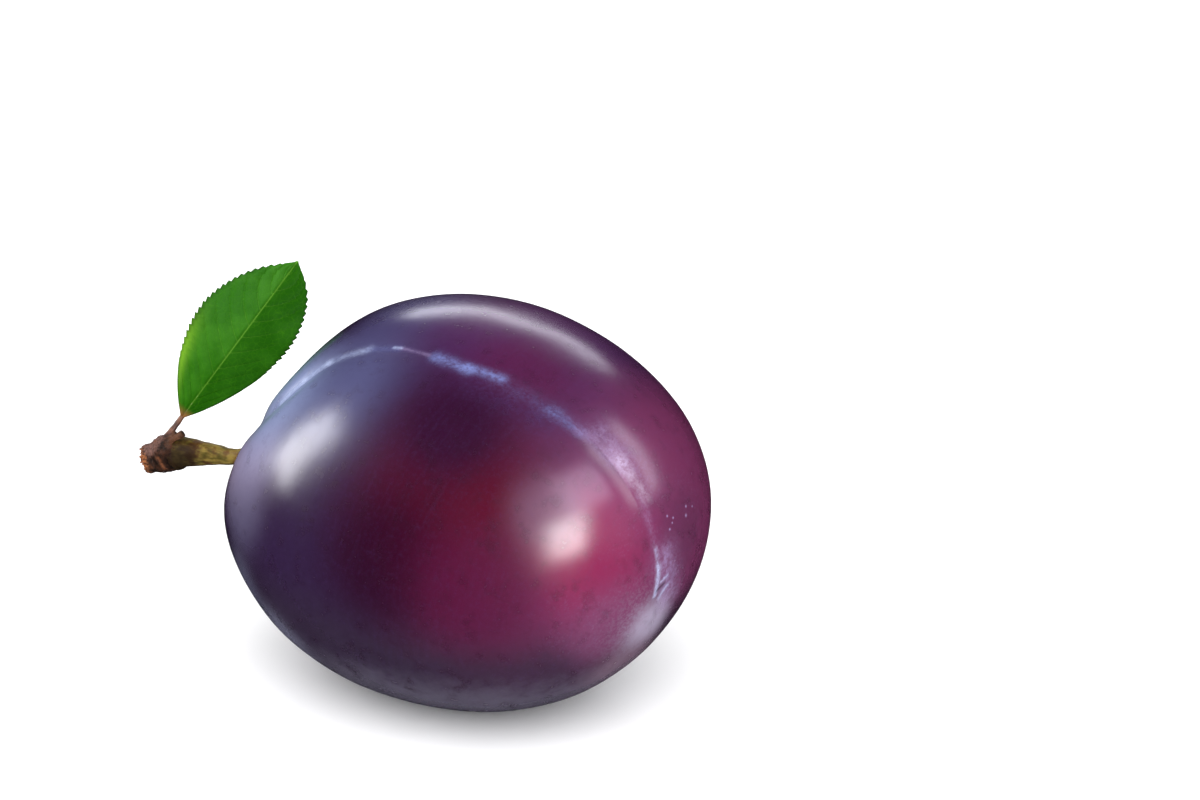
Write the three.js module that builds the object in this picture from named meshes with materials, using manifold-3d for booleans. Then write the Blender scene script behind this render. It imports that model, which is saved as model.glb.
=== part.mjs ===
// A plum as picked: the fruit, its green stalk, the bit of woody spur that it came away with, and one small leaf.
// Millimetres, +Z up. The origin is the middle of the flat spot that the fruit lies on,
// and +X runs level from the stalk end to the apex.
import * as THREE from 'three';
import { mergeVertices } from 'three/addons/utils/BufferGeometryUtils.js';
import Module from 'manifold-3d';

const wasm = await Module();
wasm.setup();

const degrees = THREE.MathUtils.degToRad;
const { smoothstep } = THREE.MathUtils;

// Fruit. Its own x runs from the stalk end to the apex, and its own z points at the seam.
const halfLength = 30;
const halfHeight = 23.2;
const halfWidth = 26.4;
const sutureSwell = 0.6;              // the seam side is this much fuller than the back
const cheekSkew = 0.017;              // the far cheek is this share flatter than the near one
const sag = { line: 3.45, ends: 0.65 };            // the stalk end stands higher on the seam side than the apex
const girth = { taper: 0.048, ends: 0.106, twist: -0.069 };   // how full the ends are
const hollow = { depth: 4.5, spread: 0.35 };       // round the stalk
const shoulder = { height: 2.4, angle: 0.6, spread: 0.35 };    // either side of the hollow
const seam = { depth: 1.1, floor: 0.12, halfAngle: 0.15, deepest: 0.45, reach: 0.55 };
const crease = { middle: 0.18, ends: 0.42, from: 1.75, to: 2.4, spread: 1.6 };     // a sharp fold down the groove
const apexPit = { depth: 0.5, spread: 0.09 };
const seamPath = { bow: 0.09, drift: -0.09, hook: -0.65, hookAt: 0.82, hookLength: 0.09 };
const fruitLean = { tilt: 12.84, roll: 27.23 };    // degrees: apex down, and the seam turned to the near side
const lowPoint = { x: -0.36, y: -3.96, z: -23.18 };            // from the fruit's middle
const flatDepth = 0.55;
const fruitRings = 40;
const fruitSides = 64;
const seamCrowding = 0.6;             // draws the mesh lines together at the seam

// Stalk, from its root in the hollow to its flared end
const socket = { radius: 1.35, depth: 2.6 };
const stalkRoot = 2.1;                // how far the stalk stands in its socket
const stalkRoute = [[-27.0, 5.7, 25.2], [-31.4, 4.3, 23.2], [-36.4, 2.65, 20.7], [-40.8, 2.35, 20.05], [-45.2, 1.65, 19.6]];
const stalkRadius = { thin: 0.98, flare: 2.0, flareFrom: 0.62, ridge: 0.04, ridges: 5 };
const stalkSteps = 26;
const stalkSides = 14;

// Spur: a stub of twig, swollen at the joint, ringed by old scars and torn off at its end
const jointGap = 0.3;
const spurRoute = [[-45.2, 1.65, 19.6], [-47.2, 1.2, 19.2], [-48.8, 0.75, 18.5], [-50.5, 0.25, 17.85]];
const spurRadius = { joint: 2.0, knob: 2.5, end: 1.9, knobAt: 0.3 };
const scars = { places: [0.12, 0.46, 0.62], height: 0.16, halfLength: 0.035 };
const bark = { knots: 0.07, grain: 0.035 };
const spurSteps = 26;
const spurSides = 24;
const splinters = { count: 9, length: 1.1, radius: 0.55, spread: 1.3, sunk: 0.9, turn: 137.5 };
const brokenStalks = [
  { route: [[-47.6, 0.1, 19.2], [-46.6, 0.0, 20.9], [-44.6, 0.95, 22.6]], radius: 0.36 },
  { route: [[-48.0, 0.9, 19.5], [-47.0, 1.0, 21.0], [-46.3, 1.5, 21.9]], radius: 0.32 },
];

// Leaf. Its own x runs along the midrib from the base of the blade, y to its left edge, z out of its upper face.
const bladeBase = [-47.6, 4.05, 23.2];
const bladeTurn = { yaw: 71.3, pitch: -44.8, roll: 56.4 };     // degrees
const bladeLength = 25.4;
const bladeThickness = 0.72;
const leftHalf = { width: 6.75, lean: 1.0, fullness: 0.8, fold: 0.2, side: 1 };
const rightHalf = { width: 5.95, lean: 1.35, fullness: 0.58, fold: 0.3, side: -1 };
const arch = 1.3;
const edgeWave = { height: 0.4, waves: 2.5 };
const teeth = { count: 30, depth: 0.36, from: 0.18, to: 0.96 };
const tipSharpness = 30;
const stationsPerTooth = 3;
const cellsPerHalf = 4;
const midrib = { base: 0.5, tip: 0.2, reach: 0.86, sunk: 0.35 };
const petioleLength = 4.1;
const petioleBend = 0.35;
const ribSides = 8;
const ribSteps = 26;

const skinViolet = new THREE.MeshStandardMaterial({ color: 0x4a1a42, roughness: 0.35, metalness: 0 });
const stalkGreen = new THREE.MeshStandardMaterial({ color: 0x7d7a38, roughness: 0.7, metalness: 0 });
const barkBrown = new THREE.MeshStandardMaterial({ color: 0x4a2c1c, roughness: 0.85, metalness: 0 });
const leafGreen = new THREE.MeshStandardMaterial({ color: 0x3c8418, roughness: 0.5, metalness: 0 });

const toVector = ([x, y, z]) => new THREE.Vector3(x, y, z);
const bell = (distance, spread) => Math.exp(-((distance / spread) ** 2));
const wrap = (angle) => Math.atan2(Math.sin(angle), Math.cos(angle));

// One closed surface through rows of points. The first and last rows are closed by a fan to their middles.
function closedSkin(rows) {
  const sides = rows[0].length;
  const points = rows.flat();
  const middle = (row) => row.reduce((sum, point) => sum.add(point), new THREE.Vector3()).divideScalar(sides);
  const start = points.push(middle(rows[0])) - 1;
  const end = points.push(middle(rows.at(-1))) - 1;
  const index = [];
  rows.slice(1).forEach((_, row) => {
    for (let side = 0; side < sides; side += 1) {
      const next = (side + 1) % sides;
      const [a, b] = [row * sides + side, row * sides + next];
      const [c, d] = [a + sides, b + sides];
      index.push(a, b, d, a, d, c);
    }
  });
  const last = (rows.length - 1) * sides;
  for (let side = 0; side < sides; side += 1) {
    const next = (side + 1) % sides;
    index.push(start, next, side);
    index.push(end, last + side, last + next);
  }
  const geometry = new THREE.BufferGeometry().setFromPoints(points);
  geometry.setIndex(index);
  return geometry;
}

function toSolid(source) {
  const bare = new THREE.BufferGeometry();
  bare.setAttribute('position', source.getAttribute('position').clone());
  bare.setIndex(source.getIndex());
  const merged = mergeVertices(bare, 1e-4);
  const corners = merged.getIndex().array;
  const triVerts = [];
  for (let i = 0; i < corners.length; i += 3) {
    const [a, b, c] = [corners[i], corners[i + 1], corners[i + 2]];
    if (a !== b && b !== c && c !== a) triVerts.push(a, b, c);
  }
  const vertProperties = new Float32Array(merged.getAttribute('position').array);
  return new wasm.Manifold(new wasm.Mesh({ numProp: 3, vertProperties, triVerts: new Uint32Array(triVerts) }));
}

function toGeometry(solid) {
  const mesh = solid.getMesh();
  const geometry = new THREE.BufferGeometry();
  geometry.setAttribute('position', new THREE.BufferAttribute(mesh.vertProperties, mesh.numProp));
  geometry.setIndex(new THREE.BufferAttribute(mesh.triVerts, 1));
  return geometry;
}

// A stem along a smooth route. radiusAt(share, angle) gives its radius at a share of its length.
function stem(route, steps, sides, radiusAt) {
  const curve = new THREE.CatmullRomCurve3(route, false, 'centripetal');
  const frames = curve.computeFrenetFrames(steps, false);
  const rows = [];
  for (let step = 0; step <= steps; step += 1) {
    const share = step / steps;
    const centre = curve.getPointAt(share);
    rows.push(Array.from({ length: sides }, (_, side) => {
      const angle = (2 * Math.PI * side) / sides;
      const radius = radiusAt(share, angle);
      return centre.clone()
        .addScaledVector(frames.normals[step], radius * Math.cos(angle))
        .addScaledVector(frames.binormals[step], radius * Math.sin(angle));
    }));
  }
  return closedSkin(rows);
}

// Where the seam lies round the fruit, at an angle measured from the stalk end
function seamAngle(along) {
  const hook = seamPath.hook / (1 + Math.exp((along - seamPath.hookAt) / seamPath.hookLength));
  return seamPath.bow * Math.sin(along) + seamPath.drift * Math.sin(2 * along) + hook;
}

// A point of the skin. along runs from 0 at the stalk to pi at the apex, around is 0 on the seam side.
function skinPoint(along, around) {
  const end = Math.cos(along);
  const ring = Math.sin(along) * (1 + girth.taper * end + girth.ends * end ** 2 + girth.twist * end ** 3);
  const dip = along < Math.PI / 2 ? hollow.depth * bell(ring, hollow.spread) : 0;
  const cheeks = Math.sin(around) ** 2;
  const rise = shoulder.height * cheeks * bell(along - shoulder.angle, shoulder.spread);
  const y = halfWidth * ring * Math.sin(around) * (1 - cheekSkew * Math.sin(around));
  const z = (halfHeight + sutureSwell * Math.cos(around)) * ring * Math.cos(around);
  const nearStalk = bell(along - seam.deepest, seam.reach);
  const radius = Math.hypot(y, z) + 1e-9;
  const off = wrap(around - seamAngle(along));
  const valley = seam.depth * (seam.floor + (1 - seam.floor) * nearStalk) * bell(off, seam.halfAngle);
  const sharp = crease.middle + (crease.ends - crease.middle) * smoothstep(along, crease.from, crease.to);
  const fold = sharp * Math.exp(-Math.abs(off * radius) / crease.spread) * Math.min(1, radius / 6);
  const shrink = Math.max(0, 1 - (valley + fold) / radius);
  const pit = apexPit.depth * bell(Math.PI - along, apexPit.spread);
  return new THREE.Vector3(-halfLength * end + dip - rise - pit, y * shrink,
    z * shrink - sag.line * end - sag.ends * end ** 2);
}

// The leaf's own frame set down in the part's frame
function leafPlace() {
  const turn = new THREE.Euler(degrees(bladeTurn.roll), degrees(bladeTurn.pitch), degrees(bladeTurn.yaw), 'ZYX');
  return new THREE.Matrix4().makeRotationFromEuler(turn).setPosition(toVector(bladeBase));
}

// The fruit's own frame set down in the part's frame
function fruitPlace() {
  const turn = new THREE.Euler(degrees(fruitLean.roll), degrees(fruitLean.tilt), 0, 'YXZ');
  const place = new THREE.Matrix4().makeRotationFromEuler(turn);
  return place.setPosition(-lowPoint.x, -lowPoint.y, -lowPoint.z - flatDepth);
}

function fruit() {
  const rows = [];
  for (let ring = 1; ring < fruitRings; ring += 1) {
    const along = (Math.PI * ring) / fruitRings;
    rows.push(Array.from({ length: fruitSides }, (_, side) => {
      const even = Math.PI - (2 * Math.PI * side) / fruitSides;
      return skinPoint(along, seamAngle(along) + even - seamCrowding * Math.sin(even));
    }));
  }
  const body = closedSkin(rows).applyMatrix4(fruitPlace());
  const floor = new THREE.BoxGeometry(90, 90, 20).translate(0, 0, -10);
  const hole = new THREE.CylinderGeometry(socket.radius, socket.radius, 2 * socket.depth, 16).rotateZ(Math.PI / 2);
  const bottom = skinPoint(0, 0);
  hole.translate(bottom.x, bottom.y, bottom.z).applyMatrix4(fruitPlace());
  const mesh = new THREE.Mesh(toGeometry(toSolid(body).subtract(toSolid(floor)).subtract(toSolid(hole))), skinViolet);
  mesh.name = 'fruit';
  return mesh;
}

function stalk() {
  const bottom = skinPoint(0, 0);
  const root = new THREE.Vector3(bottom.x + stalkRoot, bottom.y, bottom.z).applyMatrix4(fruitPlace());
  const mouth = bottom.applyMatrix4(fruitPlace());
  const route = [root, mouth, ...stalkRoute.map(toVector)];
  const { thin, flare, flareFrom, ridge, ridges } = stalkRadius;
  const radiusAt = (share, angle) => (thin + (flare - thin) * smoothstep(share, flareFrom, 1) ** 1.3)
    * (1 + ridge * Math.cos(ridges * angle + 3 * share));
  const mesh = new THREE.Mesh(stem(route, stalkSteps, stalkSides, radiusAt), stalkGreen);
  mesh.name = 'stalk';
  return mesh;
}

function spurRadiusAt(share, angle) {
  const { joint, knob, end, knobAt } = spurRadius;
  const swell = share < knobAt
    ? joint + (knob - joint) * smoothstep(share, 0, knobAt)
    : knob + (end - knob) * smoothstep(share, knobAt, 1);
  const rings = scars.places.reduce((sum, place) => sum + scars.height * bell(share - place, scars.halfLength), 0);
  const knots = bark.knots * Math.sin(3 * angle + 7 * share) * Math.sin(2 * angle - 4 * share);
  const grain = bark.grain * Math.sin(9 * angle + 5 * share);
  return swell * (1 + knots + grain) + rings;
}

// Torn fibres round the broken end, each a thin cone with its root sunk in the wood
function splinterSolids(end, outward) {
  const upright = new THREE.Quaternion().setFromUnitVectors(new THREE.Vector3(0, 1, 0), outward);
  return Array.from({ length: splinters.count }, (_, i) => {
    const turn = degrees(splinters.turn * i);
    const out = splinters.spread * Math.sqrt((i + 0.5) / splinters.count);
    const length = splinters.length * (0.75 + 0.35 * Math.sin(2.4 * i));
    const cone = new THREE.CylinderGeometry(0.12, splinters.radius, length + splinters.sunk, 5);
    cone.translate(out * Math.cos(turn), (length - splinters.sunk) / 2, out * Math.sin(turn));
    cone.applyQuaternion(upright).translate(end.x, end.y, end.z);
    return toSolid(cone);
  });
}

// The plain hole that the leaf's own stalk stands in
function petioleHole() {
  const reach = [-petioleLength - jointGap, -petioleLength / 2].map((x) => new THREE.Vector3(x, 0, -petioleBend));
  return stem(reach, 2, 10, () => midrib.base + jointGap).applyMatrix4(leafPlace());
}

function spur() {
  const route = spurRoute.map(toVector);
  const inward = route[1].clone().sub(route[0]).normalize();
  route[0].addScaledVector(inward, jointGap);
  let solid = toSolid(stem(route, spurSteps, spurSides, spurRadiusAt));
  for (const broken of brokenStalks) {
    const radiusAt = (share) => broken.radius * (1 + 0.35 * smoothstep(share, 0.75, 0.95));
    solid = solid.add(toSolid(stem(broken.route.map(toVector), 8, 7, radiusAt)));
  }
  const outward = route.at(-1).clone().sub(route.at(-2)).normalize();
  for (const splinter of splinterSolids(route.at(-1), outward)) solid = solid.add(splinter);
  solid = solid.subtract(toSolid(petioleHole()));
  const mesh = new THREE.Mesh(toGeometry(solid), barkBrown);
  mesh.name = 'spur';
  return mesh;
}

// How far one half of the blade reaches from the midrib, with its fine forward-leaning teeth
function halfReach(half, share) {
  const tip = 1 - Math.exp((share - 1) * tipSharpness);
  const plain = half.width * tip * Math.sin(Math.PI * share ** half.lean) ** half.fullness;
  const toothed = smoothstep(share, teeth.from, teeth.from + 0.2) * (1 - smoothstep(share, teeth.to - 0.04, teeth.to));
  const cut = teeth.depth * toothed * (1 - ((share * teeth.count) % 1));
  return Math.max(plain - cut, 0.05);
}

// A point of the blade's middle surface. across is 0 on the midrib and 1 at the edge of its half.
function bladePoint(half, share, across) {
  const out = across * halfReach(half, share);
  const lift = arch * 4 * share * (1 - share) + half.fold * out;
  const wave = edgeWave.height * across ** 2 * Math.sin(2 * Math.PI * edgeWave.waves * share + half.side);
  return new THREE.Vector3(bladeLength * share, half.side * out, lift + wave * Math.sin(Math.PI * share));
}

// Both faces are the same grid of points, one above the other, so that they never meet
function blade() {
  const stations = teeth.count * stationsPerTooth;
  const half = bladeThickness / 2;
  const rows = [];
  for (let station = 0; station <= stations; station += 1) {
    const share = 0.002 + (0.996 * station) / stations;
    const upper = [];
    for (let cell = cellsPerHalf; cell >= -cellsPerHalf; cell -= 1) {
      const side = cell < 0 ? rightHalf : leftHalf;
      upper.push(bladePoint(side, share, Math.abs(cell) / cellsPerHalf));
    }
    const lower = upper.map((point) => point.clone().setZ(point.z - half)).reverse();
    rows.push([...upper.map((point) => point.clone().setZ(point.z + half)), ...lower]);
  }
  return rows;
}

function leaf() {
  const route = [-petioleLength, -petioleLength / 2].map((x) => new THREE.Vector3(x, 0, -petioleBend));
  for (let i = 0; i <= 6; i += 1) {
    const point = bladePoint(leftHalf, (midrib.reach * i) / 6, 0);
    route.push(point.setZ(point.z - midrib.sunk));
  }
  const ribRadius = (share) => midrib.base + (midrib.tip - midrib.base) * share;
  const rib = toSolid(stem(route, ribSteps, ribSides, ribRadius));
  const mesh = new THREE.Mesh(toGeometry(toSolid(closedSkin(blade())).add(rib)), leafGreen);
  mesh.name = 'leaf';
  mesh.applyMatrix4(leafPlace());
  return mesh;
}

const plum = new THREE.Group();
plum.add(fruit(), stalk(), spur(), leaf());

export default plum;
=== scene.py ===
import math
import bpy
import numpy as np
from mathutils import Euler, Matrix, Vector, noise


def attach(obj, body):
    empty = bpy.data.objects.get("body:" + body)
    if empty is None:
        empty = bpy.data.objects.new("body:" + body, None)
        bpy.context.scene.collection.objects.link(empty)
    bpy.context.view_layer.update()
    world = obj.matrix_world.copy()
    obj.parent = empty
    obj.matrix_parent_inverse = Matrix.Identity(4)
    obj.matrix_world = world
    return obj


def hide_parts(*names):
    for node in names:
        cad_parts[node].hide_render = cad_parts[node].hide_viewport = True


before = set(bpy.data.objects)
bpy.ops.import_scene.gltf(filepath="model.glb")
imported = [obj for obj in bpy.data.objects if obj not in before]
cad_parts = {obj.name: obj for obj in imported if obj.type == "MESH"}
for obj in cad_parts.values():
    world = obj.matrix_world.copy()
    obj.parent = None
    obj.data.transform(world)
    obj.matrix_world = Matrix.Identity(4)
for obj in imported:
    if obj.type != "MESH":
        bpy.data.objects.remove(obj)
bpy.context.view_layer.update()        # the solids, in metres: the fruit lies on the floor, stalk to -X, apex to +X
mm = 0.001
body = "root"


# small helpers

def bell(distance, spread):
    return np.exp(-((distance / spread) ** 2))


def ease(value, low, high):
    share = np.clip((value - low) / (high - low), 0, 1)
    return share * share * (3 - 2 * share)


def deselect():
    if bpy.context.object and bpy.context.object.mode != "OBJECT":
        bpy.ops.object.mode_set(mode="OBJECT")
    bpy.ops.object.select_all(action="DESELECT")


def choose(piece):
    deselect()
    piece.select_set(True)
    bpy.context.view_layer.objects.active = piece


def applyModifier(piece, kind, **settings):
    choose(piece)
    bpy.ops.object.modifier_add(type=kind)
    modifier = piece.modifiers[-1]
    for name, value in settings.items():
        setattr(modifier, name, value)
    bpy.ops.object.modifier_apply(modifier=modifier.name)


def faceOutwards(piece, mergeWithin=0):
    choose(piece)
    bpy.ops.object.mode_set(mode="EDIT")
    bpy.ops.mesh.select_all(action="SELECT")
    if mergeWithin:
        bpy.ops.mesh.remove_doubles(threshold=mergeWithin)
    bpy.ops.mesh.normals_make_consistent(inside=False)
    bpy.ops.object.mode_set(mode="OBJECT")


def points(piece):
    flat = np.empty(len(piece.data.vertices) * 3)
    piece.data.vertices.foreach_get("co", flat)
    return flat.reshape(-1, 3)


def movePoints(piece, places):
    piece.data.vertices.foreach_set("co", np.asarray(places, float).ravel())
    piece.data.update()


def keepValue(piece, name, values):      # a number at each vertex, for the materials
    attribute = piece.data.attributes.new(name, "FLOAT", "POINT")
    attribute.data.foreach_set("value", np.asarray(values, float))


def normals(piece):
    flat = np.empty(len(piece.data.vertices) * 3)
    piece.data.vertices.foreach_get("normal", flat)
    return flat.reshape(-1, 3)


def lumps(places, size, seed=0.0):       # smooth noise, about -1 to 1, at each place
    shift = Vector((seed * 7.3, seed * 3.1, seed * 5.7))
    return np.array([noise.noise(Vector(place) / size + shift) for place in places])


def dress(piece, material, node):
    piece.data.materials.clear()
    piece.data.materials.append(material)
    choose(piece)
    bpy.ops.object.shade_smooth()
    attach(piece, body)
    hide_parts(node)


# shader maths: a Value is one output of a node, and expressions on it add Math nodes

class Value:
    def __init__(self, shader, socket):
        self.shader = shader
        self.socket = socket

    def maths(self, operation, *inputs):
        return self.shader.node("Math", {"operation": operation}, dict(enumerate(inputs)))

    def __add__(self, other):
        return self.maths("ADD", self, other)

    def __sub__(self, other):
        return self.maths("SUBTRACT", self, other)

    def __rsub__(self, other):
        return self.maths("SUBTRACT", other, self)

    def __mul__(self, other):
        return self.maths("MULTIPLY", self, other)

    def __truediv__(self, other):
        return self.maths("DIVIDE", self, other)

    __radd__ = __add__
    __rmul__ = __mul__

    def step(self, low, high):           # 0 below low, 1 above high, smooth between
        settings = {"interpolation_type": "SMOOTHSTEP"}
        return self.shader.node("MapRange", settings, {"Value": self, "From Min": low, "From Max": high})

    def bell(self, spread):
        square = self * self * (-1 / spread ** 2)
        return self.maths("POWER", math.e, square)


class Shader:
    def __init__(self, name):
        self.material = bpy.data.materials.new(name)
        self.material.use_nodes = True
        self.nodes = self.material.node_tree.nodes
        self.links = self.material.node_tree.links
        self.surface = self.nodes["Principled BSDF"]
        self.place = self.node("TexCoord", {}, {}, "Object")

    def node(self, kind, settings, inputs, output=0):
        made = self.nodes.new("ShaderNode" + kind)
        for name, value in settings.items():
            setattr(made, name, value)
        for name, value in inputs.items():
            self.plug(made.inputs[name], value)
        return Value(self, made.outputs[output])

    def plug(self, socket, value):
        if isinstance(value, Value):
            self.links.new(value.socket, socket)
        else:
            socket.default_value = value

    def mix(self, factor, first, second):
        return self.node("Mix", {"data_type": "RGBA"}, {0: factor, 6: first, 7: second}, 2)

    def attribute(self, name):
        return self.node("Attribute", {"attribute_name": name}, {}, "Fac")

    def height(self):                    # above the floor, in metres
        return self.node("SeparateXYZ", {}, {"Vector": self.place}, "Z")

    def noise(self, size, detail=2.0, rough=0.5, stretch=None):   # size in mm
        where = self.place
        if stretch:
            where = self.node("Mapping", {}, {"Vector": self.place, "Scale": stretch})
        inputs = {"Vector": where, "Scale": 1 / (size * mm), "Detail": detail, "Roughness": rough}
        return self.node("TexNoise", {}, inputs, "Fac")

    def near(self, place, radius):       # 1 at a place in mm, falling smoothly to 0
        centre = [c * mm for c in place]
        distance = self.node("VectorMath", {"operation": "DISTANCE"}, {0: self.place, 1: centre}, "Value")
        return distance.bell(radius * mm)

    # 1 on a line between two places in mm, falling off beside it, with waver in mm added to the distance
    def stroke(self, start, stop, width, waver):
        start, run = Vector(start) * mm, (Vector(stop) - Vector(start)) * mm
        away = self.node("VectorMath", {"operation": "SUBTRACT"}, {0: self.place, 1: start})
        dot = self.node("VectorMath", {"operation": "DOT_PRODUCT"}, {0: away, 1: run}, "Value")
        share = self.node("Clamp", {}, {"Value": dot / run.length_squared})
        foot = self.node("VectorMath", {"operation": "SCALE"}, {0: run, "Scale": share})
        distance = self.node("VectorMath", {"operation": "DISTANCE"}, {0: away, 1: foot}, "Value")
        return (distance + waver * mm).bell(width * mm)

    def bump(self, height, distance):    # distance in mm
        inputs = {"Strength": 1.0, "Distance": distance * mm, "Height": height}
        self.plug(self.surface.inputs["Normal"], self.node("Bump", {}, inputs, "Normal"))

    def finish(self, **sockets):
        for name, value in sockets.items():
            self.plug(self.surface.inputs[name.replace("_", " ")], value)
        return self.material


def tone(red, green, blue):              # a screen colour, 0 to 255, as Blender's linear one
    def linear(channel):
        share = channel / 255
        return share / 12.92 if share <= 0.04045 else ((share + 0.055) / 1.055) ** 2.4
    return (linear(red), linear(green), linear(blue), 1.0)


# the photograph's camera

view = {
    "lens": 100,
    "sensor": 36,
    "pixelsPerMm": 8.2,
    "azimuth": 35.92,
    "elevation": 20.0,
    "fruitMiddle": (0.36, 3.96, 22.63),  # mm
    "fruitPixel": (473.0, 501.5),        # where the fruit's middle is in the photograph
    "photoMiddle": (600, 400),
    "photoWidth": 1200,
}


def direction(azimuth, elevation):       # away from the fruit, for angles in degrees
    azimuth, elevation = math.radians(azimuth), math.radians(elevation)
    return Vector((math.sin(azimuth) * math.cos(elevation), -math.cos(azimuth) * math.cos(elevation),
                   math.sin(elevation)))


def viewAxes():
    azimuth = math.radians(view["azimuth"])
    right = Vector((math.cos(azimuth), math.sin(azimuth), 0))
    back = direction(view["azimuth"], view["elevation"])
    return right, back.cross(right), back


def addCamera():
    right, up, back = viewAxes()
    across = (view["photoMiddle"][0] - view["fruitPixel"][0]) / view["pixelsPerMm"]
    rise = (view["fruitPixel"][1] - view["photoMiddle"][1]) / view["pixelsPerMm"]
    distance = view["lens"] / view["sensor"] * view["photoWidth"] / view["pixelsPerMm"]
    aim = Vector(view["fruitMiddle"]) + right * across + up * rise
    bpy.ops.object.camera_add(location=(aim + back * distance) * mm)
    camera = bpy.context.object
    camera.rotation_euler = Matrix((right, up, back)).transposed().to_euler()
    camera.data.lens = view["lens"]
    camera.data.sensor_width = view["sensor"]
    camera.data.clip_start = 0.01
    bpy.context.scene.camera = camera


# soft boxes, each placed by where its reflection lies on the skin, in degrees, metres and watts

softBoxes = {
    "left": {"azimuth": -72, "elevation": 21, "distance": 0.6, "size": (0.17, 0.30), "lean": -8,
             "power": 3.6, "tint": (0.97, 0.97, 1.0)},
    "front": {"azimuth": 65, "elevation": 16, "distance": 0.6, "size": (0.24, 0.23), "lean": 0,
              "power": 6.5, "tint": (1.0, 1.0, 0.97)},
    "frontGlow": {"azimuth": 86, "elevation": 41, "distance": 0.6, "size": (0.38, 0.27), "lean": 0,
                  "power": 4.3, "tint": (0.88, 0.80, 1.0)},
    "back": {"azimuth": -149, "elevation": 28, "distance": 0.7, "size": (0.50, 0.12), "lean": -16,
             "power": 1.35, "tint": (0.91, 0.91, 1.0)},
    "right": {"azimuth": 129, "elevation": 34, "distance": 0.6, "size": (0.14, 0.44), "lean": -10,
              "power": 2.1, "tint": (0.94, 0.90, 1.0)},
}
studio = {
    "sun": {"strength": 4.2, "spread": 100, "tilt": (0.58, 0.50)},   # spread in degrees, tilt in radians
    "surround": 0.76,                    # the white room, as it lights what is matt
    "floor": 6.0,                        # metres
    "floorTone": (253, 253, 254),
}


def addSoftBox(name, azimuth, elevation, distance, size, lean, power, tint):
    outward = direction(azimuth, elevation)
    bpy.ops.object.light_add(type="AREA", location=Vector(view["fruitMiddle"]) * mm + outward * distance)
    light = bpy.context.object
    light.name = "softBox_" + name
    turned = outward.to_track_quat("Z", "Y") @ Euler((0, 0, math.radians(lean))).to_quaternion()
    light.rotation_euler = turned.to_euler()
    light.data.shape = "RECTANGLE"
    light.data.size, light.data.size_y = size
    light.data.energy = power
    light.data.color = tint
    light.visible_diffuse = False        # it shows as a reflection and leaves the floor clean


def addStudio():
    bpy.ops.object.light_add(type="SUN", rotation=(*studio["sun"]["tilt"], 0))
    sun = bpy.context.object
    sun.data.energy = studio["sun"]["strength"]
    sun.data.angle = math.radians(studio["sun"]["spread"])
    sun.visible_glossy = False
    for name, settings in softBoxes.items():
        addSoftBox(name, **settings)
    world = bpy.data.worlds.new("studioWhite")
    world.use_nodes = True
    nodes = world.node_tree.nodes
    nodes["Background"].inputs["Strength"].default_value = studio["surround"]
    nodes["Background"].inputs["Color"].default_value = (1, 1, 1, 1)
    world.cycles_visibility.glossy = False      # the skin mirrors only the soft boxes
    bpy.context.scene.world = world
    bpy.context.scene.view_settings.view_transform = "Standard"
    bpy.ops.mesh.primitive_plane_add(size=studio["floor"], location=(0, 0, 0))
    floor = bpy.context.object
    floor.name = "floor"
    shader = Shader("floorWhite")
    floor.data.materials.append(shader.finish(Base_Color=tone(*studio["floorTone"]), Roughness=0.6,
                                              Specular_IOR_Level=0.2))
    floor.visible_glossy = False         # the skin shows the soft boxes and no white floor


addCamera()
addStudio()
print("camera, lights and floor")


# the fruit: a sphere drawn out to the plum's own form, its seam cut in

fruit = {
    "halfLength": 30.0, "halfHeight": 23.2, "halfWidth": 26.4, "swell": 0.6, "skew": 0.017,
    "sagLine": 3.45, "sagEnds": 0.65,
    "taper": 0.048, "ends": 0.106, "twist": -0.069,
    "hollowDepth": 4.5, "hollowSpread": 0.35,
    "shoulderHeight": 2.4, "shoulderAngle": 0.6, "shoulderSpread": 0.35,
    "seamDepth": 1.1, "seamFloor": 0.12, "seamHalfAngle": 0.15, "seamDeepest": 0.45, "seamReach": 0.55,
    "creaseMiddle": 0.18, "creaseEnds": 0.42, "creaseFrom": 1.75, "creaseTo": 2.4, "creaseSpread": 1.6,
    "creaseStart": 6,                    # mm from the axis, from where on the crease has its full depth
    "pitDepth": 0.5, "pitSpread": 0.09,
    "bow": 0.09, "drift": -0.09, "hook": -0.65, "hookAt": 0.82, "hookLength": 0.09,
    "tilt": 12.84, "roll": 27.23,
    "lowPoint": (-0.36, -3.96, -23.18), "flatDepth": 0.55,
    "segments": 384, "rings": 250, "seamCrowding": 0.6,   # the mesh is finer at the seam
    "dents": 0.07, "dentSize": 7.0,
}


def seamAngle(along):
    hook = fruit["hook"] / (1 + np.exp((along - fruit["hookAt"]) / fruit["hookLength"]))
    return fruit["bow"] * np.sin(along) + fruit["drift"] * np.sin(2 * along) + hook


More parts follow.
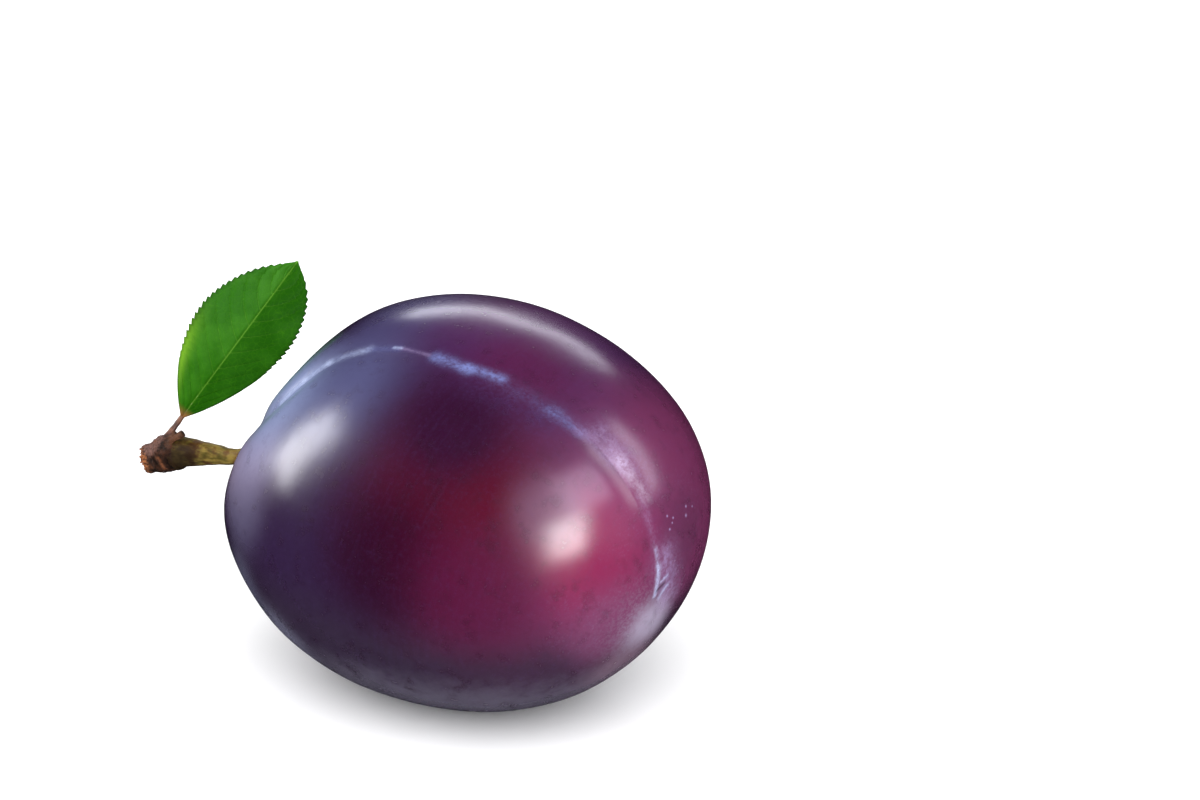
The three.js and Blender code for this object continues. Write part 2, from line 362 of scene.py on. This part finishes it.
def skinPoints(along, around):           # in the fruit's own frame, mm
    end = np.cos(along)
    ring = np.sin(along) * (1 + fruit["taper"] * end + fruit["ends"] * end ** 2 + fruit["twist"] * end ** 3)
    dip = np.where(along < math.pi / 2, fruit["hollowDepth"] * bell(ring, fruit["hollowSpread"]), 0)
    cheeks = np.sin(around) ** 2
    rise = fruit["shoulderHeight"] * cheeks * bell(along - fruit["shoulderAngle"], fruit["shoulderSpread"])
    y = fruit["halfWidth"] * ring * np.sin(around) * (1 - fruit["skew"] * np.sin(around))
    z = (fruit["halfHeight"] + fruit["swell"] * np.cos(around)) * ring * np.cos(around)
    off = around - seamAngle(along)
    off = np.arctan2(np.sin(off), np.cos(off))
    nearStalk = bell(along - fruit["seamDeepest"], fruit["seamReach"])
    radius = np.hypot(y, z) + 1e-9
    depth = fruit["seamFloor"] + (1 - fruit["seamFloor"]) * nearStalk
    groove = fruit["seamDepth"] * depth * bell(off, fruit["seamHalfAngle"])
    deeper = fruit["creaseEnds"] - fruit["creaseMiddle"]
    crease = fruit["creaseMiddle"] + ease(along, fruit["creaseFrom"], fruit["creaseTo"]) * deeper
    fold = crease * np.exp(-np.abs(off * radius) / fruit["creaseSpread"])
    groove = groove + fold * np.clip(radius / fruit["creaseStart"], 0, 1)
    shrink = np.maximum(0, 1 - groove / radius)
    pit = fruit["pitDepth"] * bell(math.pi - along, fruit["pitSpread"])
    x = -fruit["halfLength"] * end + dip - rise - pit
    z = z * shrink - fruit["sagLine"] * end - fruit["sagEnds"] * end ** 2
    return np.stack([x, y * shrink, z], -1)


def fruitPlace():
    tilt = Matrix.Rotation(math.radians(fruit["tilt"]), 4, "Y")
    turn = tilt @ Matrix.Rotation(math.radians(fruit["roll"]), 4, "X")
    low = fruit["lowPoint"]
    return Matrix.Translation((-low[0], -low[1], -low[2] - fruit["flatDepth"])) @ turn


def placeAll(places, matrix):
    table = np.array(matrix)
    return places @ table[:3, :3].T + table[:3, 3]


def addFruit():
    deselect()
    bpy.ops.mesh.primitive_uv_sphere_add(segments=fruit["segments"], ring_count=fruit["rings"], radius=1)
    skin = bpy.context.object
    skin.name = "fruitSkin"
    ball = points(skin)
    along = np.arccos(np.clip(ball[:, 2], -1, 1))
    even = np.arctan2(ball[:, 0], -ball[:, 1])
    around = seamAngle(along) + even - fruit["seamCrowding"] * np.sin(even)
    places = skinPoints(along, around)
    outward = places / np.linalg.norm(places, axis=1)[:, None]
    places = places + outward * (lumps(places, fruit["dentSize"]) * fruit["dents"])[:, None]
    placed = placeAll(places, fruitPlace())
    placed[:, 2] = np.maximum(placed[:, 2], 0)
    movePoints(skin, placed * mm)
    keepValue(skin, "along", along)
    keepValue(skin, "around", around)
    return skin


# the skin: deep violet, wine red where the sun reached it, and a rubbed bloom of wax, with painted shade, painted
# reflections and painted highlights laid in

skinLook = {
    # the third colour is a painted reflection of the floor, the fourth is painted shade on the underside
    "violet": (38, 21, 50), "magenta": (98, 38, 74), "paintedFloorReflection": (88, 84, 98), "paintedUnderShade": (42, 32, 48),
    "blends": {                          # colour, place and reach in mm, strength
        "farLobe": ((66, 28, 70), (6, 8, 44), 16, 0.9),
        "farCheek": ((90, 34, 66), (27, 10, 34), 11, 0.75),
        # the next two are wax bloom with painted highlight: the lavender halo of the left highlight
        "leftBloomAndHighlight": ((140, 130, 158), (-20.5, -12.5, 31), 8.5, 0.85),
        "leftFlankBloomAndHighlight": ((88, 84, 110), (-19, -17, 24), 6, 0.5),
        "upperHaze": ((74, 77, 114), (-9, -10, 40), 10, 0.7),
        "grooveHaze": ((116, 128, 164), (-18, -9, 35.5), 7.8, 0.85),
        # the next two are painted reflection: pale grey-blue along the lower left edge of the skin
        "lowLeftReflection": ((100, 100, 120), (-12.5, -15.5, 8.5), 5.5, 0.85),
        "leftEdgeReflection": ((86, 86, 108), (-18.5, -14, 14.5), 5, 0.7),
        "farHaze": ((66, 66, 106), (-8, 4, 43), 8, 0.55),
        "farSide": ((66, 34, 58), (30.5, 5, 25), 6, 0.45),
        "redLobe": ((72, 12, 44), (12, -1, 43.2), 7, 0.5),
        "crimson": ((66, 0, 23), (13.5, -16.5, 31.5), 13, 1.0),
        "wine": ((32, 0, 22), (7, -20.5, 25), 10, 0.82),
        "darkPlum": ((36, 4, 32), (10, -12, 39.5), 8, 0.95),
        "glow": ((116, 18, 60), (27, -8, 26), 8, 0.8),
        "underGlow": ((68, 6, 42), (18, -18, 22.5), 9, 0.75),
        "lowHaze": ((104, 54, 86), (28, -6, 17), 6, 0.7),
        "apexBloom": ((158, 148, 170), (29.5, 0.5, 14.8), 4.0, 0.68),
        "lowGrey": ((116, 92, 108), (24.5, 0, 9), 6, 0.75),
        # the next two are painted highlight: a pale halo beside the front highlight
        "paintedHaloSpot": ((92, 64, 84), (22.5, -10.5, 31), 4.6, 0.7),
        "paintedRightHalo": ((124, 92, 118), (24.7, -3.2, 27.5), 4.2, 0.5),
        "backBloom": ((68, 68, 98), (-4, 26, 26), 15, 0.5),
    },
    "noise": {                           # size in mm, detail, roughness
        "cloud": (8, 3, 0.5), "patchy": (2.2, 4, 0.65), "grains": (0.35, 3, 0.8), "specks": (0.6, 4, 0.75),
    },
    "shadeFrom": 22, "shadeTo": 12, "reflectionFrom": 12, "reflectionTo": 4,   # heights in mm
    "shares": {"paintedUnderShade": 0.9, "paintedFloorReflection": 0.8, "rubbed": 0.06, "powder": 0.1, "haze": 0.08, "dark": 0.25,
               "apex": 0.25, "dots": 0.8},
    "rough": 0.26, "waxRough": 0.25, "specular": 0.25, "bump": 0.006,
    "apexPlace": (29.5, -1, 16), "apexReach": 5,
    "tones": {"blue": (104, 116, 172), "pale": (172, 184, 220), "lilac": (150, 132, 176),
              "dim": (66, 50, 100), "grey": (140, 140, 156), "dark": (30, 4, 24), "white": (192, 184, 202)},
    "marks": [                           # thick or rubbed wax, on some of them with painted highlight: from and to in mm, half width, strength, tone
        ((-19.0, -8.4, 34.8), (-16.2, -7.3, 37.9), 0.5, 0.6, "pale"),
        ((-16.2, -7.3, 37.9), (-13.4, -6.0, 40.4), 0.6, 0.45, "pale"),
        ((-13.2, -6.1, 40.4), (-7.9, -5.1, 42.9), 0.7, 0.4, "pale"),
        ((-7.9, -5.1, 42.9), (-3.5, -4.8, 43.9), 0.6, 0.2, "blue"),
        ((-4.3, -4.7, 43.9), (-3.2, -4.7, 44.0), 0.22, 0.6, "pale"),
        ((-3.2, -4.7, 44.0), (1.1, -4.9, 44.1), 0.3, 0.3, "lilac"),
        ((2.2, -4.9, 44.1), (7.0, -5.0, 43.4), 0.8, 0.75, "blue"),
        ((6.4, -4.6, 43.6), (11.0, -3.9, 42.9), 0.7, 0.7, "blue"),
        ((9.0, -6.2, 42.4), (18.5, -5.2, 39.4), 2.2, 0.2, "dim"),
        ((11.0, -4.4, 42.7), (18.4, -3.6, 40.2), 1.2, 0.12, "blue"),
        ((18.0, -3.5, 40.4), (21.6, -2.9, 38.5), 0.9, 0.35, "blue"),
        ((21.4, -2.9, 38.6), (25.3, -2.4, 35.4), 0.6, 0.2, "lilac"),
        # the next three lie over the right highlight: the lilac ones are wax bloom with painted highlight, the
        # white one is painted highlight
        ((23.5, -0.2, 38.0), (28.6, 0.8, 32.6), 2.2, 0.12, "lilac"),
        ((23.0, -1.4, 38.0), (26.4, -0.9, 34.8), 1.2, 0.3, "lilac"),
        ((26.0, -1.0, 35.2), (28.9, -0.2, 31.4), 0.9, 0.3, "white"),
        ((28.9, -0.8, 31.2), (29.7, -0.6, 28.6), 0.6, 0.12, "lilac"),
        ((29.6, -0.6, 29.1), (30.3, -0.3, 25.5), 0.5, 0.15, "lilac"),
        ((30.6, 1.5, 23.5), (29.8, 3.4, 18.0), 1.9, 0.5, "lilac"),
        ((30.4, -0.1, 25.0), (30.5, 0.3, 22.4), 0.3, 0.45, "pale"),
        ((30.5, 0.3, 22.8), (30.2, 0.4, 18.9), 0.38, 0.95, "pale"),
        ((30.5, 1.1, 20.5), (30.6, 2.2, 20.9), 0.25, 0.6, "pale"),
        ((30.1, 1.7, 18.0), (30.3, 3.0, 19.2), 0.3, 0.5, "pale"),
        ((30.3, 0.6, 19.4), (30.4, 2.0, 19.9), 0.25, 0.8, "dark"),
    ],
    "dots": [                            # place and reach in mm
        ((30.3, 6.1, 27.2), 0.17), ((30.1, 6.4, 28.2), 0.14), ((30.4, 3.4, 27.8), 0.12),
        ((30.2, 2.4, 28.3), 0.12), ((30.5, 3.1, 27.3), 0.10), ((30.6, 2.5, 26.7), 0.12),
        ((30.0, 7.9, 27.7), 0.10),
    ],
}


def onSkin(skin, place):                 # the nearest point of the skin, in mm
    return skin.closest_point_on_mesh(Vector(place) * mm)[1] / mm


def skinMaterial(skin):
    look, shares = skinLook, skinLook["shares"]
    tones = {name: tone(*colour) for name, colour in look["tones"].items()}
    shader = Shader("plumSkin")
    along, around = shader.attribute("along"), shader.attribute("around")
    cloud, patchy, grains, specks = (shader.noise(*layer) for layer in look["noise"].values())
    reddening = (along + (cloud - 0.5) * 0.5).step(1.7, 2.75)
    base = shader.mix(reddening, tone(*look["violet"]), tone(*look["magenta"]))
    uneven = shader.height() + (patchy - 0.5) * 0.004
    # painted shade: the skin is darkened towards the floor, between two heights
    paintedUnderShade = uneven.step(look["shadeFrom"] * mm, look["shadeTo"] * mm)
    base = shader.mix(paintedUnderShade * shares["paintedUnderShade"], base, tone(*look["paintedUnderShade"]))
    for colour, place, size, strength in look["blends"].values():
        reach = shader.near(place, size) + (cloud - 0.5) * 0.15 + (patchy - 0.5) * 0.1
        base = shader.mix(reach.step(0.05, 0.95) * strength, base, tone(*colour))
    # painted reflection of the floor: a pale grey low on the skin, close above the floor
    paintedFloorReflection = uneven.step(look["reflectionFrom"] * mm, look["reflectionTo"] * mm)
    base = shader.mix(paintedFloorReflection * shares["paintedFloorReflection"], base, tone(*look["paintedFloorReflection"]))
    # rubbed marks run round the fruit
    ringWise = shader.node("CombineXYZ", {}, {"X": along * 60, "Y": around * 4})
    rubs = shader.node("TexNoise", {}, {"Vector": ringWise, "Scale": 1.0, "Detail": 4.0}, "Fac")
    bloom = rubs.step(0.4, 0.8) * cloud.step(0.35, 0.7) * shares["rubbed"]
    powder = grains.step(0.5, 0.75) * shader.noise(5, 3).step(0.4, 0.7) * along.step(2.2, 2.7)
    base = shader.mix(powder * shares["powder"], base, tones["lilac"])
    base = shader.mix(bloom, base, tones["dim"])
    haze = (specks * 0.6 + grains * 0.4).step(0.48, 0.66)
    base = shader.mix(haze * shares["haze"], base, tones["dim"])
    base = shader.mix(patchy.step(0.5, 0.7) * shares["dark"], base, tones["dark"])
    apex = shader.near(look["apexPlace"], look["apexReach"]) * (grains * 0.5 + specks * 0.5).step(0.42, 0.6)
    base = shader.mix(apex * shares["apex"], base, tones["grey"])
    broken = (patchy * 0.3 + specks * 0.4 + grains * 0.3).step(0.4, 0.6) * 0.8 + 0.2
    for start, stop, width, strength, name in look["marks"]:
        start, stop = onSkin(skin, start), onSkin(skin, stop)
        cover = shader.stroke(start, stop, width, (specks - 0.5) * width * 1.3)
        bloom = bloom + cover * strength * 0.5
        base = shader.mix(cover * broken * strength, base, tones[name])
    for place, reach in look["dots"]:
        base = shader.mix(shader.near(onSkin(skin, place), reach) * shares["dots"], base, tones["lilac"])
    shader.bump(specks * 0.3 + shader.noise(3, 2) + rubs * 0.5, look["bump"])
    rough = look["rough"] + bloom.step(0, 1) * look["waxRough"] + (patchy - 0.5) * 0.10
    return shader.finish(Base_Color=base, Roughness=rough, Specular_IOR_Level=look["specular"])


fruitSkin = addFruit()
dress(fruitSkin, skinMaterial(fruitSkin), "fruit")
print("fruit", len(fruitSkin.data.polygons))


# stems: a smooth curve through listed points, given a thickness and turned into a mesh

def smoothRoute(route, steps):
    ends = [2 * route[0] - route[1], *route, 2 * route[-1] - route[-2]]
    places = []
    for index in range(len(route) - 1):
        before, start, stop, after = ends[index:index + 4]
        bend = 2 * before - 5 * start + 4 * stop - after
        sway = 3 * start - before - 3 * stop + after
        for step in range(steps):
            t = step / steps
            places.append(0.5 * (2 * start + (stop - before) * t + bend * t ** 2 + sway * t ** 3))
    return [*places, route[-1]]


def addStem(name, route, radiusAt, steps, sides):
    deselect()
    bpy.ops.curve.primitive_nurbs_path_add()
    path = bpy.context.object
    path.name = name
    path.location = (0, 0, 0)
    path.data.splines.clear()
    places = smoothRoute([Vector(place) for place in route], steps)
    spline = path.data.splines.new("POLY")
    spline.points.add(len(places) - 1)
    for index, (point, place) in enumerate(zip(spline.points, places)):
        point.co = (*(place * mm), 1)
        point.radius = radiusAt(index / (len(places) - 1))
    path.data.bevel_depth = mm
    path.data.bevel_resolution = sides
    path.data.use_fill_caps = True
    choose(path)
    bpy.ops.object.convert(target="MESH")
    piece = bpy.context.object
    faceOutwards(piece, 0.01 * mm)
    return piece


def roughen(piece, layers):              # each layer is a height and a size in mm, and a seed
    places = points(piece)
    out = normals(piece)
    rise = sum(lumps(places / mm, size, seed) * height for height, size, seed in layers)
    movePoints(piece, places + out * (rise * mm)[:, None])


stalk = {
    "route": [(-23.3, 5.8, 24.3), (-25.35, 5.8, 24.75), (-27.0, 5.7, 25.2), (-31.4, 4.3, 23.2),
              (-36.4, 2.65, 20.7), (-40.8, 2.35, 20.05), (-45.2, 1.65, 19.6), (-46.4, 1.4, 19.3)],
    "thin": 0.96, "flare": 2.35, "flareFrom": 0.5,
    "lumps": [(0.07, 1.2, 1), (0.03, 0.4, 2)],
    "grain": ((62, 54, 6), (120, 100, 40)), "fleck": (76, 36, 6),
    "joint": (30, 17, 5), "jointPlace": (-44.8, -0.6, 19.0), "jointReach": 3.8,
}


def stalkRadius(share):
    return stalk["thin"] + (stalk["flare"] - stalk["thin"]) * float(ease(share, stalk["flareFrom"], 1)) ** 1.2


def stalkMaterial():
    shader = Shader("stalkGreen")
    fleck = shader.noise(1.6, 4, rough=0.6)
    grain = shader.noise(0.5, 3, stretch=(0.25, 1, 1))
    base = shader.mix(grain.step(0.3, 0.7), tone(*stalk["grain"][0]), tone(*stalk["grain"][1]))
    base = shader.mix(fleck.step(0.45, 0.65) * 0.75, base, tone(*stalk["fleck"]))
    joint = (shader.near(stalk["jointPlace"], stalk["jointReach"]) + (fleck - 0.5) * 0.9).step(0.05, 0.9)
    base = shader.mix(joint * 0.9, base, tone(*stalk["joint"]))
    shader.bump(fleck * 0.5 + grain, 0.08)
    return shader.finish(Base_Color=base, Roughness=0.6, Specular_IOR_Level=0.15)


stem = addStem("stalkGreen", stalk["route"], stalkRadius, 16, 8)
applyModifier(stem, "SUBSURF", levels=1, render_levels=1)
roughen(stem, stalk["lumps"])
dress(stem, stalkMaterial(), "stalk")
print("stalk")


# the spur: a stub of twig, ringed by scars, with two broken leaf stalks and a torn end

spur = {
    "route": [(-45.5, 1.6, 19.5), (-47.2, 1.2, 19.2), (-48.8, 0.75, 18.5), (-50.3, 0.3, 17.9)],
    "joint": 2.0, "knob": 2.5, "end": 1.9, "knobAt": 0.3,
    "scars": (0.12, 0.46, 0.62), "scarHeight": 0.16, "scarHalfLength": 0.035,
    "broken": [([(-47.6, 0.1, 19.2), (-46.6, 0.0, 20.9), (-44.6, 0.95, 22.6)], 0.36),
               ([(-48.0, 0.9, 19.5), (-47.0, 1.0, 21.0), (-46.3, 1.5, 21.9)], 0.32)],
    "brokenFlare": 0.35,
    "fibres": 22, "fibreLength": 1.1, "fibreRadius": 0.3, "fibreTip": 0.08, "fibreSpread": 1.5,
    "fibreTurn": 137.5, "fibreLean": 0.25, "voxel": 0.085,
    "lumps": [(0.22, 1.4, 3), (0.1, 0.5, 4), (0.05, 0.22, 5)],
}


def spurRadius(share):
    swell = ease(share, 0, spur["knobAt"]) * (spur["knob"] - spur["joint"])
    fall = ease(share, spur["knobAt"], 1) * (spur["end"] - spur["knob"])
    rings = sum(spur["scarHeight"] * bell(share - place, spur["scarHalfLength"]) for place in spur["scars"])
    return float(spur["joint"] + swell + fall + rings)


def brokenRadius(radius, share):         # a broken leaf stalk flares at its torn end
    return radius * (1 + spur["brokenFlare"] * float(ease(share, 0.75, 0.95)))


def addSpur():
    pieces = [addStem("spurBark", spur["route"], spurRadius, 16, 10)]
    for route, radius in spur["broken"]:
        pieces.append(addStem("brokenStalk", route, lambda share: brokenRadius(radius, share), 6, 4))
    end = Vector(spur["route"][-1])
    outward = (end - Vector(spur["route"][-2])).normalized()
    turnOut = outward.to_track_quat("Z", "Y")
    for index in range(spur["fibres"]):
        turn = math.radians(spur["fibreTurn"]) * index
        out = spur["fibreSpread"] * math.sqrt((index + 0.5) / spur["fibres"])
        length = spur["fibreLength"] * (0.6 + 0.5 * math.sin(2.4 * index) ** 2)
        tilt = Euler((spur["fibreLean"] * math.sin(3 * turn), spur["fibreLean"] * math.cos(5 * turn), 0))
        lean = turnOut @ tilt.to_quaternion()
        root = end + turnOut @ Vector((out * math.cos(turn), out * math.sin(turn), length * 0.2))
        deselect()
        bpy.ops.mesh.primitive_cone_add(vertices=7, radius1=spur["fibreRadius"] * mm,
                                        radius2=spur["fibreTip"] * mm, depth=length * mm,
                                        location=root * mm, rotation=lean.to_euler())
        bpy.ops.object.transform_apply(location=True, rotation=True, scale=True)
        pieces.append(bpy.context.object)
    deselect()
    for piece in pieces:
        piece.select_set(True)
    bpy.context.view_layer.objects.active = pieces[0]
    bpy.ops.object.join()
    wood = bpy.context.object
    applyModifier(wood, "REMESH", mode="VOXEL", voxel_size=spur["voxel"] * mm)
    roughen(wood, spur["lumps"])
    return wood


barkLook = {
    "plain": ((18, 8, 3), (58, 30, 14)),
    "patches": [                         # colour, place and reach in mm, strength
        # grey bark on top of the knob, made lighter there as painted highlight
        ((106, 76, 68), (-49.0, -0.3, 20.8), 2.0, 0.95),
        ((12, 5, 2), (-44.9, -0.5, 18.8), 1.7, 0.9),
    ],
    "rings": [                           # from and to in mm, half width, strength
        ((-48.5, -0.4, 21.0), (-47.3, -1.1, 19.2), 0.26, 0.8),
        ((-47.3, -1.1, 19.2), (-46.4, -0.8, 17.7), 0.26, 0.8),
        ((-49.6, -0.3, 20.0), (-48.4, -1.0, 17.6), 0.22, 0.6),
    ],
    "ring": (112, 66, 40), "stub": (132, 88, 62), "stubEnd": (18, 9, 5),
    "torn": ((58, 26, 12), (150, 92, 54)), "tornPlace": (-50.6, -0.5, 17.8), "tornReach": 1.7,
}


def barkMaterial():
    look = barkLook
    shader = Shader("spurBark")
    patch = shader.noise(1.2, 4, rough=0.7)
    grain = shader.noise(0.35, 4, rough=0.7)
    base = shader.mix(patch.step(0.35, 0.65), tone(*look["plain"][0]), tone(*look["plain"][1]))
    for colour, place, reach, strength in look["patches"]:
        cover = (shader.near(place, reach) + (patch - 0.5) * 0.8).step(0.25, 0.65)
        base = shader.mix(cover * strength * (grain.step(0.32, 0.62) * 0.7 + 0.3), base, tone(*colour))
    for start, stop, width, strength in look["rings"]:
        cover = shader.stroke(start, stop, width, (grain - 0.5) * 0.4) * strength
        base = shader.mix(cover, base, tone(*look["ring"]))
    for route, radius in spur["broken"]:
        cover = shader.stroke(route[0], route[2], radius + 0.25, (grain - 0.5) * 0.3) * 0.8
        base = shader.mix(cover, base, tone(*look["stub"]))
        base = shader.mix(shader.near(route[2], radius + 0.2), base, tone(*look["stubEnd"]))
    torn = (shader.near(look["tornPlace"], look["tornReach"]) + (grain - 0.5) * 0.4).step(0.2, 0.5)
    fibres = shader.mix(grain.step(0.38, 0.62), tone(*look["torn"][0]), tone(*look["torn"][1]))
    base = shader.mix(torn, base, fibres)
    shader.bump(grain + patch, 0.12)
    return shader.finish(Base_Color=base, Roughness=0.75, Specular_IOR_Level=0.15)


wood = addSpur()
dress(wood, barkMaterial(), "spur")
print("spur", len(wood.data.polygons))


# the leaf: x along the midrib from the base of the blade, y to its left edge, z out of its upper face

leaf = {
    "base": (-47.6, 4.05, 23.2), "yaw": 71.3, "pitch": -44.8, "roll": 56.4,
    "length": 25.4,
    "left": {"width": 6.75, "lean": 1.0, "fullness": 0.8, "fold": 0.2, "side": 1, "teethFrom": 0.18},
    "right": {"width": 5.95, "lean": 1.35, "fullness": 0.58, "fold": 0.3, "side": -1, "teethFrom": 0.36},
    "arch": 1.3, "waveHeight": 0.4, "waves": 2.5,
    "teeth": 30, "toothDepth": 0.36, "teethTo": 0.96, "tipSharpness": 30,
    "columns": 240, "cellsPerHalf": 56, "thickness": 0.28,
    "sideVeins": 10, "veinSweep": (0.16, 0.10), "veinStagger": 0.03, "veinHalfWidth": 0.13,
    "veinDepth": 0.07, "midribHalfWidth": 0.22, "midribDepth": 1.6, "quilt": 0.05,
    "petiole": 4.1, "petioleBend": 0.35, "petioleLumps": [(0.05, 0.8, 6)],
    "ribReach": 0.86, "ribSunk": 0.22, "ribTip": 0.10, "ribSwell": 0.32, "footSwell": 0.22,
}


def leafPlace():
    turn = Euler([math.radians(leaf[name]) for name in ("roll", "pitch", "yaw")], "XYZ")
    return Matrix.Translation(leaf["base"]) @ turn.to_matrix().to_4x4()


def halfReach(half, share):
    tip = 1 - np.exp((share - 1) * leaf["tipSharpness"])
    plain = half["width"] * tip * np.sin(math.pi * share ** half["lean"]) ** half["fullness"]
    starting = ease(share, half["teethFrom"], half["teethFrom"] + 0.2)
    toothed = starting * ease(share, leaf["teethTo"], leaf["teethTo"] - 0.04)
    cut = leaf["toothDepth"] * toothed * (1 - (share * leaf["teeth"]) % 1)
    return np.maximum(plain - cut, 0.05)


def archHeight(share):                   # the midrib's height over a straight line from base to tip
    return leaf["arch"] * 4 * share * (1 - share)


def bladeHeight(half, share, across, out):
    lift = archHeight(share) + half["fold"] * out
    wave = leaf["waveHeight"] * across ** 2 * np.sin(2 * math.pi * leaf["waves"] * share + half["side"])
    return lift + wave * np.sin(math.pi * share)


# 1 on a side vein, with each place's share of the way to the next vein: they leave the midrib in turn
# and sweep to the tip
def veinLines(share, across, side):
    sweep, curl = leaf["veinSweep"]
    travel = share - sweep * across - curl * across ** 2 + (leaf["veinStagger"] if side > 0 else 0)
    phase = (travel * leaf["sideVeins"]) % 1
    offset = np.minimum(phase, 1 - phase) / leaf["sideVeins"] * leaf["length"]
    return bell(offset, leaf["veinHalfWidth"] - 0.05 * across) * ease(across, 1.0, 0.7), phase


def addBlade():
    deselect()
    rows = 2 * leaf["cellsPerHalf"]
    bpy.ops.mesh.primitive_grid_add(x_subdivisions=leaf["columns"], y_subdivisions=rows, size=2)
    blade = bpy.context.object
    blade.name = "leafBlade"
    flat = points(blade)
    share = 0.002 + 0.996 * (flat[:, 0] + 1) / 2
    across = np.abs(flat[:, 1])
    places = np.zeros_like(flat)
    vein = np.zeros(len(flat))
    for half, chosen in ((leaf["left"], flat[:, 1] >= 0), (leaf["right"], flat[:, 1] < 0)):
        s, a = share[chosen], across[chosen]
        out = a * halfReach(half, s)
        lines, phase = veinLines(s, a, half["side"])
        middle = bell(out, leaf["midribHalfWidth"])
        quilting = leaf["quilt"] * np.sin(math.pi * phase) ** 2 * ease(a, 0.02, 0.3) * ease(a, 1, 0.75)
        sunk = leaf["veinDepth"] * np.maximum(lines, leaf["midribDepth"] * middle)
        height = bladeHeight(half, s, a, out) + quilting - sunk
        places[chosen] = np.stack([leaf["length"] * s, half["side"] * out, height], -1)
        vein[chosen] = np.maximum(lines * 0.7, middle)
    movePoints(blade, placeAll(places, leafPlace()) * mm)
    keepValue(blade, "share", share)
    keepValue(blade, "across", flat[:, 1])
    keepValue(blade, "vein", vein)
    faceOutwards(blade)
    applyModifier(blade, "SOLIDIFY", thickness=leaf["thickness"] * mm, offset=0)
    return blade


leafLook = {
    # left and right are one green, painted lighter on the lit left half and darker on the shaded right half; glow
    # is painted light at the left edge
    "left": (32, 88, 4), "right": (20, 68, 0), "cloud": (58, 118, 26), "glow": (118, 166, 40),
    "net": (70, 130, 10), "netScale": 1300, "vein": (100, 148, 50), "edge": (14, 50, 0),
    "base": (120, 80, 46),
    "petiole": ((66, 34, 20), (112, 70, 46)), "rib": (104, 146, 66),
    "ribFrom": 23.5, "ribTo": 26.5,      # heights in mm
}


def leafMaterial():
    look = leafLook
    shader = Shader("leafGreen")
    share, across, vein = (shader.attribute(name) for name in ("share", "across", "vein"))
    cloud = shader.noise(4, 3)
    cells = {"Vector": shader.place, "Scale": look["netScale"]}
    net = shader.node("TexVoronoi", {"feature": "DISTANCE_TO_EDGE"}, cells, "Distance")
    # painted light and shade: the left half lighter, the right half darker, with more pale cloud on the left
    left = across.step(-0.05, 0.05)
    base = shader.mix(left, tone(*look["right"]), tone(*look["left"]))
    base = shader.mix(cloud.step(0.4, 0.7) * (0.15 + left * 0.3), base, tone(*look["cloud"]))
    # painted light: yellow-green at the middle of the left edge
    paintedEdgeLight = (across - 1.0).bell(0.2) * (share - 0.27).bell(0.16) * 0.7
    base = shader.mix(paintedEdgeLight, base, tone(*look["glow"]))
    base = shader.mix(net.step(0.05, 0.0) * 0.12, base, tone(*look["net"]))
    base = shader.mix(vein.step(0.3, 1.0) * 0.5, base, tone(*look["vein"]))
    edge = across.maths("ABSOLUTE", across).step(0.9, 1.0)
    base = shader.mix(edge * 0.5, base, tone(*look["edge"]))
    base = shader.mix(share.step(0.06, 0.0), base, tone(*look["base"]))
    shader.bump(net.step(0.0, 0.12) * 0.5 + cloud, 0.02)
    return shader.finish(Base_Color=base, Roughness=0.5, Specular_IOR_Level=0.03)


def petioleMaterial():                   # brown below the blade, green in it
    look = leafLook
    shader = Shader("leafStalk")
    fleck = shader.noise(0.7, 3)
    base = shader.mix(fleck.step(0.35, 0.65), tone(*look["petiole"][0]), tone(*look["petiole"][1]))
    green = shader.height().step(look["ribFrom"] * mm, look["ribTo"] * mm)
    base = shader.mix(green, base, tone(*look["rib"]))
    shader.bump(fleck, 0.05)
    return shader.finish(Base_Color=base, Roughness=0.5)


def petioleRadius(share):
    return leaf["ribTip"] + leaf["ribSwell"] * (1 - share) ** 1.5 + leaf["footSwell"] * (1 - share) ** 10


def addPetiole():
    place = leafPlace()
    length, bend = leaf["petiole"], leaf["petioleBend"]
    route = [(-length, 0, -bend), (-length / 2, 0, -bend)]
    for index in range(7):
        share = leaf["ribReach"] * index / 6
        route.append((leaf["length"] * share, 0, archHeight(share) - leaf["ribSunk"]))
    route = [place @ Vector(point) for point in route]
    return addStem("leafStalk", route, petioleRadius, 10, 4)


blade = addBlade()
dress(blade, leafMaterial(), "leaf")
petiole = addPetiole()
roughen(petiole, leaf["petioleLumps"])
dress(petiole, petioleMaterial(), "leaf")
print("leaf", len(blade.data.polygons))
